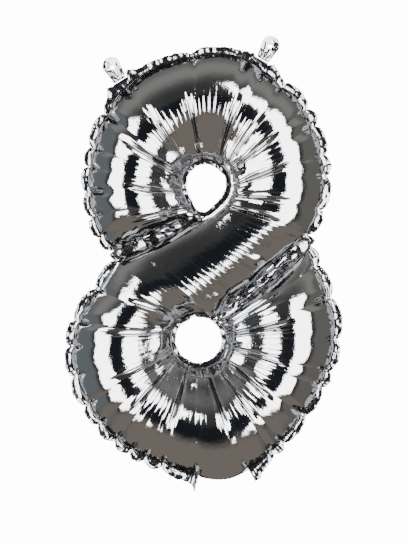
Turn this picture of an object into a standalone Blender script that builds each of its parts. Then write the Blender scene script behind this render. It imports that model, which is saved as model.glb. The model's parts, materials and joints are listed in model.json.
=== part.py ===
"""Foil number balloon in the shape of an 8, inflated, with hang tabs and a fill neck.

Two foil panels are welded together along one S-shaped air chamber. The chamber starts at
the left side of the waist, goes over the top loop, crosses the waist as a diagonal tube,
goes round the bottom loop and ends at the right side of the waist. X is to the right,
Z is up, and the front of the balloon faces -Y. The origin is the point
midway between the holes of the two hang tabs, where a ribbon holds the balloon.

Sizes below are millimetres and degrees. MM turns them into Blender's metres.
"""

import math

import bmesh
import bpy
import numpy as np
from mathutils import Matrix, Vector

MM = 0.001

# Loops of the 8: the weld line that bounds the chamber. Places are from the waist's centre.
UPPER_LOOP_WIDTH = 195.0
UPPER_LOOP_RISE = 160.0
LOWER_LOOP_WIDTH = 218.0
LOWER_LOOP_DROP = 193.0
UPPER_EYE_CENTRE = (-5.0, 52.0)
LOWER_EYE_CENTRE = (-11.0, -77.0)
UPPER_EYE_RADIUS = 20.0
LOWER_EYE_RADIUS = 22.5
UPPER_EYE_TIP_REACH = 6.5
EYE_TIP_SPREAD = 26.0

# Depth of the inflated tubes, front to back, and the rounded length of the two closed ends.
UPPER_TUBE_DEPTH = 57.0
DIAGONAL_TUBE_DEPTH = 54.0
LOWER_TUBE_DEPTH = 61.0
CLOSED_END_ROUNDING = 34.0

# Foil, welds and the clearances between pieces that touch.
FOIL_THICKNESS = 0.7
WELD_THICKNESS = 0.8
SKIRT_HEIGHT = 0.9
PLY_GAP = 0.4
WELD_GAP = 0.4
CREASE_GAP = 0.6
HEM_GAP = 0.7
HEM_WIDTH = 5.6
HEM_SCALLOP_DEPTH = 1.4
HEM_SCALLOP_LENGTH = 22.0
HEM_CORNER_REACH = 3.5
HEM_CORNER_LENGTH = 5.0
EYE_WELD_WIDTH = 3.6
WAIST_WELD_WIDTH = 6.0

# Hang tabs: places along the top weld line, as shares from the left waist to the right
# waist, and how far each leans from square to the weld, anticlockwise.
LEFT_TAB_PLACE = 0.348
LEFT_TAB_LEAN = -11.0
RIGHT_TAB_PLACE = 0.621
RIGHT_TAB_LEAN = 6.0
TAB_LENGTH = 21.5
TAB_HEAD_RADIUS = 7.5
TAB_ROOT_WIDTH = 11.0
TAB_HOLE_RADIUS = 1.8
TAB_HOLE_HEIGHT = 12.5
TAB_SHOULDER_ANGLE = 20.0

# Fill neck: the flat inlet at the bottom, folded to the back, and its two valve films.
NECK_PLACE = 0.531
NECK_ROOT_WIDTH = 42.0
NECK_MOUTH_WIDTH = 30.0
NECK_LENGTH = 33.0
NECK_CORNER_RADIUS = 3.0
NECK_REST_RISE = 8.0
NECK_CREASE_GAP = 1.2
NECK_PLY_THICKNESS = 0.4
NECK_PLY_GAP = 0.4
VALVE_FILM_WIDTH = 18.0
VALVE_FILM_REACH = 0.66
VALVE_FILM_THICKNESS = 0.4
VALVE_FILM_GAP = 1.1

# Fineness of the solids: sections along each tube, steps across it, points on each line.
UPPER_STATIONS = 36
DIAGONAL_STEP = 9.0
LOWER_STATIONS = 40
STEPS_ACROSS = 8
HEM_STEP = 5.5
EYE_STEPS = 44
END_CROWDING = 1.4
OUTLINE_POINTS = 400
SPLINE_STEPS = 16
UNDER_POINTS = 12
OVER_POINTS = 20
WAIST_WELD_STEPS = 5
TAB_HEAD_POINTS = 17
TAB_HOLE_POINTS = 15
NECK_CORNER_POINTS = 5
MERGE_DISTANCE = 1e-6
WELD_MERGE_DISTANCE = 1e-4

# Neighbours each way that a normal is averaged over, on a fine outline and on the hem.
OUTLINE_REACH = 12
HEM_REACH = 2

# Outline of each loop, from the left waist round to the right waist: shares of half the
# loop's width from its eye, and of its height from the waist.
UPPER_OUTLINE = [
    (-0.76, -0.01), (-0.88, 0.05), (-0.96, 0.17), (-1.0, 0.31), (-0.98, 0.45),
    (-0.92, 0.58), (-0.83, 0.70), (-0.71, 0.81), (-0.48, 0.91), (-0.14, 0.985),
    (0.12, 1.0), (0.35, 0.97), (0.53, 0.89), (0.72, 0.80), (0.85, 0.70),
    (0.95, 0.56), (1.0, 0.43), (1.0, 0.30), (0.95, 0.17), (0.85, 0.065),
]
LOWER_OUTLINE = [
    (-0.62, -0.06), (-0.75, -0.17), (-0.88, -0.27), (-0.95, -0.37), (-0.96, -0.48),
    (-0.90, -0.61), (-0.76, -0.75), (-0.52, -0.87), (-0.24, -0.94), (-0.03, -0.98),
    (0.17, -1.0), (0.37, -0.96), (0.59, -0.86), (0.79, -0.72), (0.95, -0.56),
    (1.03, -0.42), (1.02, -0.29), (0.94, -0.15), (0.83, 0.0),
]

# Angles round each eye, degrees from +X towards +Z, where the waist welds meet the rings.
UPPER_EYE_TIP_ANGLE = 261.0
UPPER_EYE_LAST_ANGLE = -60.0
LOWER_EYE_TIP_ANGLE = 45.0
LOWER_EYE_FIRST_ANGLE = 115.0

# Share of each loop that has the loop's own depth, before it eases into the diagonal's.
FULL_DEPTH_SHARE = 0.72

# How the foil's bulge starts at a weld: 0.5 is upright, and 1 would be a straight slope.
ROUND_EDGE = 0.5
EYE_EDGE = 0.75

SILVER_FOIL = ("silver_foil", (0.78, 0.79, 0.81, 1.0), 0.08, 1.0)
WELDED_FOIL = ("welded_foil", (0.72, 0.73, 0.75, 1.0), 0.22, 1.0)
VALVE_PLASTIC = ("valve_plastic", (0.86, 0.88, 0.90, 1.0), 0.30, 0.0)


# ---------------------------------------------------------------- lines in the XZ plane


def curve_through(points, count):
    """A smooth line through the points, returned as count points at an equal spacing."""
    knots = np.array(points, dtype=float)
    padded = np.vstack([2 * knots[0] - knots[1], knots, 2 * knots[-1] - knots[-2]])
    dense = []
    for before, start, end, after in zip(padded, padded[1:], padded[2:], padded[3:]):
        for t in np.linspace(0, 1, SPLINE_STEPS, endpoint=False):
            pull_1 = (end - before) / 2
            pull_2 = (after - start) / 2
            h = 3 * t**2 - 2 * t**3
            bend = (t**3 - 2 * t**2 + t) * pull_1 + (t**3 - t**2) * pull_2
            dense.append(start + h * (end - start) + bend)
    dense.append(knots[-1])
    return along(np.array(dense), np.linspace(0, 1, count))


def travelled(line):
    """Distance along a line at each of its points."""
    steps = np.linalg.norm(np.diff(line, axis=0), axis=1)
    return np.concatenate([[0.0], np.cumsum(steps)])


def along(line, shares):
    """Points at the given shares of a line's length."""
    distance = travelled(line)
    wanted = np.asarray(shares) * distance[-1]
    return np.column_stack([np.interp(wanted, distance, line[:, k]) for k in (0, 1)])


def outward_normals(line, reach):
    """Unit normals to the left of a line, averaged over its neighbours."""
    before = np.vstack([line[:1].repeat(reach, axis=0), line[:-reach]])
    after = np.vstack([line[reach:], line[-1:].repeat(reach, axis=0)])
    run = after - before
    normals = np.column_stack([-run[:, 1], run[:, 0]])
    return normals / np.linalg.norm(normals, axis=1)[:, None]


def upper_outline(count=OUTLINE_POINTS):
    """Weld line of the top loop, clockwise from the left waist to the right waist."""
    scale = np.array([UPPER_LOOP_WIDTH / 2, UPPER_LOOP_RISE])
    points = np.array(UPPER_OUTLINE) * scale + [UPPER_EYE_CENTRE[0], 0]
    return curve_through(points, count)


def lower_outline(count=OUTLINE_POINTS):
    """Weld line of the bottom loop, anticlockwise from the left to the right waist."""
    scale = np.array([LOWER_LOOP_WIDTH / 2, LOWER_LOOP_DROP])
    points = np.array(LOWER_OUTLINE) * scale + [LOWER_EYE_CENTRE[0], 0]
    return curve_through(points, count)


def eye_line(eye, angles, inset=0.0):
    """Points on an eye's weld line at angles in degrees, moved in by inset."""
    centre, radius, tip_angle, tip_reach = eye
    angles = np.asarray(angles, dtype=float)
    off_tip = (angles - tip_angle + 180) % 360 - 180
    reach = radius - inset + tip_reach * np.exp(-((off_tip / EYE_TIP_SPREAD) ** 2))
    turn = np.radians(angles)
    return np.column_stack([np.cos(turn), np.sin(turn)]) * reach[:, None] + centre


UPPER_EYE = (np.array(UPPER_EYE_CENTRE), UPPER_EYE_RADIUS, UPPER_EYE_TIP_ANGLE,
             UPPER_EYE_TIP_REACH)
LOWER_EYE = (np.array(LOWER_EYE_CENTRE), LOWER_EYE_RADIUS, LOWER_EYE_TIP_ANGLE, 0.0)


def half_weld_angle(eye):
    """Angle at the eye's centre of half a waist weld's width."""
    return math.degrees(WAIST_WELD_WIDTH / 2 / (eye[1] + eye[3]))


def angles_round(eye, outer, first, last):
    """Angles on an eye that face the outer points, eased to first and last at the ends."""
    facing = np.degrees(np.unwrap(np.arctan2(*(outer - eye[0]).T[::-1])))
    share = np.linspace(0, 1, len(outer))
    start_shift = (first - facing[0] + 180) % 360 - 180
    end_shift = (last - facing[-1] + 180) % 360 - 180
    return facing + start_shift * (1 - share) ** 3 + end_shift * share**3


# ---------------------------------------------------------------- the chamber's sections


def chamber_sections():
    """Left and right ends of each section across the chamber, along its whole S."""
    upper_half = half_weld_angle(UPPER_EYE)
    lower_half = half_weld_angle(LOWER_EYE)

    places = np.linspace(0, 1, UPPER_STATIONS) ** END_CROWDING
    top_outer = along(upper_outline(), places)
    top_angles = angles_round(
        UPPER_EYE, top_outer, UPPER_EYE_TIP_ANGLE - upper_half, UPPER_EYE_LAST_ANGLE
    )
    top_inner = eye_line(UPPER_EYE, top_angles)

    places = 1 - np.linspace(1, 0, LOWER_STATIONS) ** END_CROWDING
    bottom_outer = along(lower_outline(), places)
    bottom_angles = angles_round(
        LOWER_EYE, bottom_outer, LOWER_EYE_FIRST_ANGLE, LOWER_EYE_TIP_ANGLE - lower_half
    )
    bottom_inner = eye_line(LOWER_EYE, bottom_angles)

    # The diagonal tube runs under the upper eye and over the lower eye.
    under_end = UPPER_EYE_TIP_ANGLE - 360 + upper_half
    under_angles = np.linspace(UPPER_EYE_LAST_ANGLE, under_end, UNDER_POINTS)
    under = np.vstack([eye_line(UPPER_EYE, under_angles), bottom_outer[:1]])
    over_start = LOWER_EYE_TIP_ANGLE + lower_half
    over_angles = np.linspace(over_start, LOWER_EYE_FIRST_ANGLE, OVER_POINTS)
    over = np.vstack([top_outer[-1:], eye_line(LOWER_EYE, over_angles)])
    steps = round(travelled(over)[-1] / DIAGONAL_STEP) + 1
    shares = np.linspace(0, 1, steps + 1)[1:-1]

    left = np.vstack([top_outer, along(over, shares), bottom_inner])
    right = np.vstack([top_inner, along(under, shares), bottom_outer])
    return left, right


def section_values(count, upper, diagonal, lower):
    """One value for each section, eased from one tube of the chamber to the next."""
    lower_start = count - LOWER_STATIONS
    knots = [
        0,
        FULL_DEPTH_SHARE * UPPER_STATIONS,
        (UPPER_STATIONS + lower_start) / 2,
        lower_start + (1 - FULL_DEPTH_SHARE) * LOWER_STATIONS,
        count,
    ]
    return np.interp(np.arange(count), knots, [upper, upper, diagonal, lower, lower])


def end_rounding(left, right):
    """Share of its full depth that each section has near the chamber's closed ends."""
    middle = (left + right) / 2
    distance = travelled(middle)
    from_end = np.minimum(distance, distance[-1] - distance) / CLOSED_END_ROUNDING
    return np.sqrt(1 - (1 - np.clip(from_end, 0, 1)) ** 2)


def bulge(across, left_edge, right_edge):
    """Depth of a section at shares across it, 1 at its crest."""
    crest = left_edge / (left_edge + right_edge)
    peak = crest**left_edge * (1 - crest) ** right_edge
    return across**left_edge * (1 - across) ** right_edge / peak


def panel_points(side):
    """Grid of points on one foil panel's outside. side is -1 in front and 1 behind."""
    left, right = chamber_sections()
    count = len(left)
    depths = section_values(count, UPPER_TUBE_DEPTH, DIAGONAL_TUBE_DEPTH, LOWER_TUBE_DEPTH) / 2
    depths = depths * end_rounding(left, right)
    left_edges = section_values(count, ROUND_EDGE, ROUND_EDGE, EYE_EDGE)
    right_edges = section_values(count, EYE_EDGE, ROUND_EDGE, ROUND_EDGE)
    across = (1 - np.cos(np.linspace(0, math.pi, STEPS_ACROSS + 1))) / 2
    rows = []
    for start, end, depth, left_edge, right_edge in zip(
        left, right, depths, left_edges, right_edges
    ):
        flat = start + (end - start) * across[:, None]
        height = PLY_GAP / 2 + SKIRT_HEIGHT + depth * bulge(across, left_edge, right_edge)
        rows.append(np.column_stack([flat[:, 0], side * height, flat[:, 1]]))
    # A low upright skirt all round ends the panel square against the welds.
    grid = np.pad(np.array(rows), ((1, 1), (1, 1), (0, 0)), mode="edge")
    grid[[0, -1], :, 1] = side * PLY_GAP / 2
    grid[:, [0, -1], 1] = side * PLY_GAP / 2
    return grid


# ---------------------------------------------------------------- Blender objects


def material(finish):
    name, colour, roughness, metallic = finish
    made = bpy.data.materials.get(name)
    if made is None:
        made = bpy.data.materials.new(name)
        made.use_nodes = True
        shader = made.node_tree.nodes["Principled BSDF"]
        shader.inputs["Base Color"].default_value = colour
        shader.inputs["Roughness"].default_value = roughness
        shader.inputs["Metallic"].default_value = metallic
    return made


def add_object(name, data, finish, parent):
    """Put a new object in the balloon's collection, with its finish and its parent."""
    made = bpy.data.objects.new(name, data)
    data.materials.append(material(finish))
    bpy.data.collections["foil_number_balloon"].objects.link(made)
    made.parent = parent
    return made


def grid_mesh(name, rows, flip):
    """Open surface over a grid of points, in millimetres, as a mesh in metres."""
    count, width = rows.shape[:2]
    faces = []
    for i in range(count - 1):
        for j in range(width - 1):
            corner = i * width + j
            face = (corner, corner + 1, corner + width + 1, corner + width)
            faces.append(face[::-1] if flip else face)
    mesh = bpy.data.meshes.new(name)
    mesh.from_pydata((rows.reshape(-1, 3) * MM).tolist(), [], faces)
    return mesh


def merge_doubles(mesh):
    edited = bmesh.new()
    edited.from_mesh(mesh)
    bmesh.ops.remove_doubles(edited, verts=edited.verts, dist=MERGE_DISTANCE)
    edited.to_mesh(mesh)
    edited.free()


def add_thickness(made, thickness, offset):
    shell = made.modifiers.new("thickness", "SOLIDIFY")
    shell.thickness = thickness * MM
    shell.offset = offset


def foil_panel(name, side, parent):
    """One inflated foil panel: a shell whose thickness goes inwards."""
    mesh = grid_mesh(name, panel_points(side), flip=side > 0)
    merge_doubles(mesh)
    mesh.shade_smooth()
    made = add_object(name, mesh, SILVER_FOIL, parent)
    add_thickness(made, FOIL_THICKNESS, -1.0)
    return made


def flat_band(name, inner, outer, finish, parent):
    """Flat welded band between two lines, as thick as a weld."""
    rows = np.stack([inner, outer], axis=1)
    rows = np.insert(rows, 1, 0.0, axis=2)
    made = add_object(name, grid_mesh(name, rows, flip=False), finish, parent)
    add_thickness(made, WELD_THICKNESS, 0.0)
    return made


def flat_plate(name, outline, holes, thickness, finish, parent):
    """Flat sheet from an outline and its holes, in its own XY plane."""
    curve = bpy.data.curves.new(name, "CURVE")
    curve.dimensions = "2D"
    curve.fill_mode = "BOTH"
    curve.extrude = thickness * MM / 2
    for line in [outline, *holes]:
        spline = curve.splines.new("POLY")
        spline.points.add(len(line) - 1)
        spline.use_cyclic_u = True
        for point, (x, y) in zip(spline.points, line):
            point.co = (x * MM, y * MM, 0.0, 1.0)
    return add_object(name, curve, finish, parent)


def arc(centre, radius, start, end, count):
    turn = np.radians(np.linspace(start, end, count))
    return np.column_stack([np.cos(turn), np.sin(turn)]) * radius + centre


# ---------------------------------------------------------------- welds


def closed_outline():
    """Weld line of the whole 8, clockwise from the left waist, at an equal spacing."""
    line = np.vstack([upper_outline(), lower_outline()[::-1]])
    line = np.vstack([line, line[:1]])
    count = round(travelled(line)[-1] / HEM_STEP)
    return along(line, np.linspace(0, 1, count + 1))[:-1]


def hem_lines():
    """Inner and outer edge of the hem, from one side of the fill neck to the other."""
    line = closed_outline()
    neck, _ = neck_root()
    mouth = int(np.argmin(np.linalg.norm(line - neck, axis=1)))
    line = np.roll(line, -mouth, axis=0)
    wrapped = np.vstack([line[-HEM_REACH:], line, line[:HEM_REACH]])
    normals = outward_normals(wrapped, HEM_REACH)[HEM_REACH:-HEM_REACH]
    from_neck = np.linalg.norm(line - neck, axis=1)
    kept = from_neck > NECK_ROOT_WIDTH / 2 + CREASE_GAP
    line, normals, from_neck = line[kept], normals[kept], from_neck[kept]
    distance = travelled(line)
    scallop = np.abs(np.sin(distance * math.pi / HEM_SCALLOP_LENGTH))
    corner = np.exp(-(((from_neck - from_neck.min()) / HEM_CORNER_LENGTH) ** 2))
    width = HEM_WIDTH - HEM_SCALLOP_DEPTH * (1 - scallop) + HEM_CORNER_REACH * corner
    inner = line + normals * HEM_GAP
    outer = line + normals * (WELD_GAP + width)[:, None]
    return inner, outer


def outer_hem(parent):
    inner, outer = hem_lines()
    return flat_band("outer_weld_hem", inner, outer, WELDED_FOIL, parent)


def eye_weld(name, eye, parent):
    """Welded ring that lines one eye of the 8."""
    angles = np.linspace(0, 360, EYE_STEPS + 1)
    seam = eye_line(eye, angles, WELD_GAP)
    rim = eye_line(eye, angles, WELD_GAP + EYE_WELD_WIDTH)
    made = flat_band(name, rim, seam, WELDED_FOIL, parent)
    weld = made.modifiers.new("close ring", "WELD")
    weld.merge_threshold = WELD_MERGE_DISTANCE
    made.modifiers.move(1, 0)
    return made


def waist_weld(name, side_a, side_b, parent):
    """Welded strip between the chamber's closed end and the diagonal tube."""
    across = side_b - side_a
    across = across / np.linalg.norm(across, axis=1)[:, None]
    run = side_a[-1] - side_a[0]
    run = run / np.linalg.norm(run)
    upper = side_a + across * WELD_GAP
    lower = side_b - across * WELD_GAP
    shares = np.linspace(0, 1, WAIST_WELD_STEPS + 1)
    upper = along(upper, shares)
    lower = along(lower, shares)
    for line in (upper, lower):
        line[0] += run * WELD_GAP
        line[-1] -= run * WELD_GAP
    return flat_band(name, upper, lower, WELDED_FOIL, parent)


def left_waist_weld(parent):
    upper_half = half_weld_angle(UPPER_EYE)
    tip = eye_line(UPPER_EYE, [UPPER_EYE_TIP_ANGLE - upper_half, UPPER_EYE_TIP_ANGLE + upper_half])
    above = np.array([upper_outline()[0], tip[0]])
    below = np.array([lower_outline()[0], tip[1]])
    return waist_weld("left_waist_weld", above, below, parent)


def right_waist_weld(parent):
    lower_half = half_weld_angle(LOWER_EYE)
    tip = eye_line(LOWER_EYE, [LOWER_EYE_TIP_ANGLE + lower_half, LOWER_EYE_TIP_ANGLE - lower_half])
    above = np.array([upper_outline()[-1], tip[0]])
    below = np.array([lower_outline()[-1], tip[1]])
    return waist_weld("right_waist_weld", above, below, parent)


# ---------------------------------------------------------------- hang tabs


LEFT_TAB = (LEFT_TAB_PLACE, LEFT_TAB_LEAN)
RIGHT_TAB = (RIGHT_TAB_PLACE, RIGHT_TAB_LEAN)


def tab_root(tab):
    """Middle of a hang tab's root crease, and the direction in which the tab stands."""
    place, lean = tab
    line = upper_outline()
    index = int(round(place * (len(line) - 1)))
    normal = outward_normals(line, OUTLINE_REACH)[index]
    turn = math.radians(lean)
    direction = np.array([
        normal[0] * math.cos(turn) - normal[1] * math.sin(turn),
        normal[0] * math.sin(turn) + normal[1] * math.cos(turn),
    ])
    corner_swing = TAB_ROOT_WIDTH / 2 * abs(math.sin(turn))
    clear = WELD_GAP + HEM_WIDTH + CREASE_GAP + corner_swing
    return line[index] + normal * clear, direction


def hang_point():
    """Midway between the holes of the two tabs."""
    holes = []
    for tab in (LEFT_TAB, RIGHT_TAB):
        root, direction = tab_root(tab)
        holes.append(root + direction * TAB_HOLE_HEIGHT)
    return (holes[0] + holes[1]) / 2


def stand_up(made, root, direction):
    """Lay a plate's own X along a crease at root, with its own Y along direction."""
    up = Vector((direction[0], 0.0, direction[1]))
    crease = Vector((direction[1], 0.0, -direction[0]))
    turned = Matrix((crease, up, crease.cross(up))).transposed()
    made.rotation_euler = turned.to_euler()
    made.location = (root[0] * MM, 0.0, root[1] * MM)


def hang_tab(name, tab, parent):
    """Rounded foil tab with a punched hole, standing on its root crease."""
    head = TAB_LENGTH - TAB_HEAD_RADIUS
    outline = np.vstack([
        [(-TAB_ROOT_WIDTH / 2, 0.0), (TAB_ROOT_WIDTH / 2, 0.0)],
        arc((0.0, head), TAB_HEAD_RADIUS, -TAB_SHOULDER_ANGLE, 180 + TAB_SHOULDER_ANGLE,
            TAB_HEAD_POINTS),
    ])
    hole = arc((0.0, TAB_HOLE_HEIGHT), TAB_HOLE_RADIUS, 360, 360 / TAB_HOLE_POINTS,
               TAB_HOLE_POINTS)
    made = flat_plate(name, outline, [hole], WELD_THICKNESS, WELDED_FOIL, parent)
    stand_up(made, *tab_root(tab))
    return made


# ---------------------------------------------------------------- fill neck and valve


def neck_root():
    """Middle of the fill neck's root on the bottom weld line, and the way out of it."""
    line = lower_outline()
    index = int(round(NECK_PLACE * (len(line) - 1)))
    normal = -outward_normals(line, OUTLINE_REACH)[index]
    return line[index], normal


def neck_crease(parent):
    """Empty on the crease: its X runs along it, and its Y along the folded-back neck."""
    root, normal = neck_root()
    root = root + normal * NECK_CREASE_GAP
    crease = bpy.data.objects.new("neck_crease", None)
    bpy.data.collections["foil_number_balloon"].objects.link(crease)
    crease.parent = parent
    outward = Vector((normal[0], 0.0, normal[1]))
    back = Vector((0.0, 1.0, 0.0))
    rise = math.radians(NECK_REST_RISE)
    folded = back * math.cos(rise) - outward * math.sin(rise)
    side = outward.cross(back)
    turned = Matrix((side, folded, side.cross(folded))).transposed()
    crease.rotation_euler = turned.to_euler()
    crease.location = (root[0] * MM, 0.0, root[1] * MM)
    return crease


def neck_ply(name, side, crease):
    """One foil ply of the fill neck, tapering from its root to its mouth."""
    lift = side * (NECK_PLY_GAP + NECK_PLY_THICKNESS) / 2
    corner = NECK_CORNER_RADIUS
    side_reach = NECK_MOUTH_WIDTH / 2 - corner
    top = NECK_LENGTH - corner
    outline = np.vstack([
        [(-NECK_ROOT_WIDTH / 2, 0.0), (NECK_ROOT_WIDTH / 2, 0.0)],
        arc((side_reach, top), corner, 0, 90, NECK_CORNER_POINTS),
        arc((-side_reach, top), corner, 90, 180, NECK_CORNER_POINTS),
    ])
    made = flat_plate(name, outline, [], NECK_PLY_THICKNESS, SILVER_FOIL, crease)
    made.location.z = lift * MM
    return made


def weld_line_rise(root, normal, half_width):
    """How far the bottom weld line rises into the chamber on either side of the neck's root."""
    away = lower_outline() - root
    sideways = away @ np.array([normal[1], -normal[0]])
    rise = -(away @ normal)
    beside = (np.abs(sideways) <= half_width) & (rise < half_width)
    return rise[beside].max()


def valve_film(name, side, parent):
    """One clear film of the flap valve, inside the chamber above the neck."""
    root, normal = neck_root()
    half = VALVE_FILM_WIDTH / 2
    clear = weld_line_rise(root, normal, half) + FOIL_THICKNESS + VALVE_FILM_GAP
    start = root - normal * clear
    tube_width = np.linalg.norm(root - LOWER_EYE_CENTRE) - LOWER_EYE_RADIUS
    length = VALVE_FILM_REACH * tube_width
    outline = [(-half, 0.0), (half, 0.0), (half, length), (-half, length)]
    made = flat_plate(name, outline, [], VALVE_FILM_THICKNESS, VALVE_PLASTIC, parent)
    stand_up(made, start, -normal)
    made.location.y = side * (PLY_GAP + VALVE_FILM_THICKNESS) / 2 * MM
    return made


# ---------------------------------------------------------------- the balloon


def clear_scene():
    for old in list(bpy.data.objects):
        bpy.data.objects.remove(old, do_unlink=True)
    bpy.context.scene.collection.children.link(
        bpy.data.collections.new("foil_number_balloon")
    )


def build():
    clear_scene()
    hang = hang_point()
    waist = bpy.data.objects.new("waist_centre", None)
    bpy.data.collections["foil_number_balloon"].objects.link(waist)
    waist.location = (-hang[0] * MM, 0.0, -hang[1] * MM)

    foil_panel("front_panel", -1, waist)
    foil_panel("rear_panel", 1, waist)
    outer_hem(waist)
    eye_weld("upper_eye_weld", UPPER_EYE, waist)
    eye_weld("lower_eye_weld", LOWER_EYE, waist)
    left_waist_weld(waist)
    right_waist_weld(waist)
    hang_tab("left_hang_tab", LEFT_TAB, waist)
    hang_tab("right_hang_tab", RIGHT_TAB, waist)

    crease = neck_crease(waist)
    neck_ply("fill_neck_front_ply", -1, crease)
    neck_ply("fill_neck_rear_ply", 1, crease)
    valve_film("valve_film_front", -1, waist)
    valve_film("valve_film_rear", 1, waist)


build()
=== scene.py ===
# %% [markdown]
# # A silver foil number balloon, the figure 8
# The balloon is two thin sheets of metallised film, welded together along one S-shaped air
# chamber. This lesson dresses the plain frame as real foil: taut and mirror-like where the
# film is stretched, pleated into fine ridges where a flat sheet has been bent round a hole,
# and crinkled along every weld. The frame comes first, because all the places come from it.

# %% Load the frame
import json
import math

import bpy
import numpy as np
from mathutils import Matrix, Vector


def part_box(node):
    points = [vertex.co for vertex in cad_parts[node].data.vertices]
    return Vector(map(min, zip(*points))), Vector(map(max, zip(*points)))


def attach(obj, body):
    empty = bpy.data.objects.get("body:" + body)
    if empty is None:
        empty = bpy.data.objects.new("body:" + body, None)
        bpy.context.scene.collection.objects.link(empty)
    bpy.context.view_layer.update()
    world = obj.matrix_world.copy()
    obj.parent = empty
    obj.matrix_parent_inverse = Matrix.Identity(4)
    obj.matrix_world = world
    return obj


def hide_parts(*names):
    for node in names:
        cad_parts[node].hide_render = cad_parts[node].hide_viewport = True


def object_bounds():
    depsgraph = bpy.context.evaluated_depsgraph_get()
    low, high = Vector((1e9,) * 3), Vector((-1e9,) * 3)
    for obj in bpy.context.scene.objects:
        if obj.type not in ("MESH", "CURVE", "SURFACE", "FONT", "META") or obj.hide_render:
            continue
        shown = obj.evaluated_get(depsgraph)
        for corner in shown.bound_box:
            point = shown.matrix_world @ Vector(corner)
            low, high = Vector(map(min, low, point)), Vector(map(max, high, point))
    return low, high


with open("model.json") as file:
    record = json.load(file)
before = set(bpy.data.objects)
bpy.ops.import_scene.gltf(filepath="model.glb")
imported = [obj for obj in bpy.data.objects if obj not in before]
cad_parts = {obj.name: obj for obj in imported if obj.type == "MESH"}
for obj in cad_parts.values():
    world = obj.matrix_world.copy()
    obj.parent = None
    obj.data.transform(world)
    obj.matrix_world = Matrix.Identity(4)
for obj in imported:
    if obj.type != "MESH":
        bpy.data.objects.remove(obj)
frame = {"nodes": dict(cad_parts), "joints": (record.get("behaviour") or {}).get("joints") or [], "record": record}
cad_box = [list(corner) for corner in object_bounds()]
MM = 0.001
LOWER_EYE_CENTRE = np.array([-11.0, -77.0])
UPPER_EYE_CENTRE = np.array([-5.0, 52.0])


def middle_of(node):
    """Middle of a node's box, across and up, in millimetres."""
    low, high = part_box(node)
    return np.array([low[0] + high[0], low[2] + high[2]]) / 2 / MM


WAIST = middle_of("lower_eye_weld") - LOWER_EYE_CENTRE
print("waist's centre at", WAIST.round(1), "mm")
print("frame from", [round(v, 3) for v in cad_box[0]], "to", [round(v, 3) for v in cad_box[1]])

# %% [markdown]
# ## The camera
# The balloon is seen square from the front, from far enough away that its depth hardly
# changes its outline. The camera is set first, so that every later step can be looked at.

# %% Camera
VIEW_HEIGHT = 0.4515
VIEW_DISTANCE = 1.6
VIEW_FROM_WAIST = (-6.6, -20.7)
view_x, view_z = (WAIST + VIEW_FROM_WAIST) * MM

camera_data = bpy.data.cameras.new("front_camera")
camera_data.sensor_width = 36.0
camera_data.lens = camera_data.sensor_width * VIEW_DISTANCE / VIEW_HEIGHT
camera = bpy.data.objects.new("front_camera", camera_data)
camera.location = (view_x, -VIEW_DISTANCE, view_z)
camera.rotation_euler = (math.radians(90), 0.0, 0.0)
bpy.context.scene.collection.objects.link(camera)
bpy.context.scene.camera = camera
print("lens", round(camera_data.lens, 1), "mm")

# %% [markdown]
# ## Light for a mirror
# Foil has no colour of its own: it shows the room. Real lamps and cards could stand round the
# balloon, but they would get in the way of other views, so the room is painted on the world:
# a dark strip in front between two tall white softboxes, grey above and to the sides, a
# brownish floor, and a white screen behind on the left. What the camera sees directly is white.

# %% World helpers
world = bpy.data.worlds.new("studio_room")
bpy.context.scene.world = world
world.use_nodes = True
room = world.node_tree
room.nodes.clear()


def room_node(kind, **settings):
    """Add one node to the room."""
    made = room.nodes.new(kind)
    for name, value in settings.items():
        setattr(made, name, value)
    return made


def ramp_between(value, low, high, to_low=0.0, to_high=1.0):
    """A soft step of a value, as a socket."""
    step = room_node("ShaderNodeMapRange", interpolation_type="SMOOTHSTEP")
    room.links.new(value, step.inputs["Value"])
    for name, number in (("From Min", low), ("From Max", high),
                         ("To Min", to_low), ("To Max", to_high)):
        step.inputs[name].default_value = number
    return step.outputs["Result"]


def combine(operation, first, second=None):
    """A sum, product or other Math node, as a socket."""
    made = room_node("ShaderNodeMath", operation=operation)
    for socket, value in zip(made.inputs, (first, second)):
        if isinstance(value, (int, float)):
            socket.default_value = value
        elif value is not None:
            room.links.new(value, socket)
    return made.outputs[0]


def blend_colours(share, first, second):
    """From the first colour at share 0 to the second at share 1."""
    made = room_node("ShaderNodeMix", data_type="RGBA")
    room.links.new(share, made.inputs["Factor"])
    for socket, value in ((made.inputs["A"], first), (made.inputs["B"], second)):
        if isinstance(value, tuple):
            socket.default_value = value
        else:
            room.links.new(value, socket)
    return made.outputs["Result"]


# %% The room
SOFTBOX = (6.0, 6.0, 6.1, 1.0)
SECOND_LOOK = 0.13
BACKDROP = (1.0, 1.0, 1.0, 1.0)
BACKDROP_STRENGTH = 14.0
FRONT_DARK = (0.012, 0.014, 0.018, 1.0)
LOW_CEILING = (0.040, 0.040, 0.040, 1.0)
CEILING = (0.215, 0.212, 0.20, 1.0)
CEILING_BEHIND = (0.11, 0.11, 0.105, 1.0)
FLOOR = (0.17, 0.15, 0.13, 1.0)
BOX_FRAME = (0.030, 0.032, 0.034, 1.0)
BACK_LEFT = (0.125, 0.14, 0.147, 1.0)
BACK_RIGHT = (0.125, 0.122, 0.112, 1.0)

# Where a mirrored line of sight is heading: across to the right, back along y, and up.
direction = room_node("ShaderNodeTexCoord").outputs["Generated"]
parts = room_node("ShaderNodeSeparateXYZ")
room.links.new(direction, parts.inputs[0])
across, along_y, up = parts.outputs
side = combine("ABSOLUTE", across)

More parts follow.
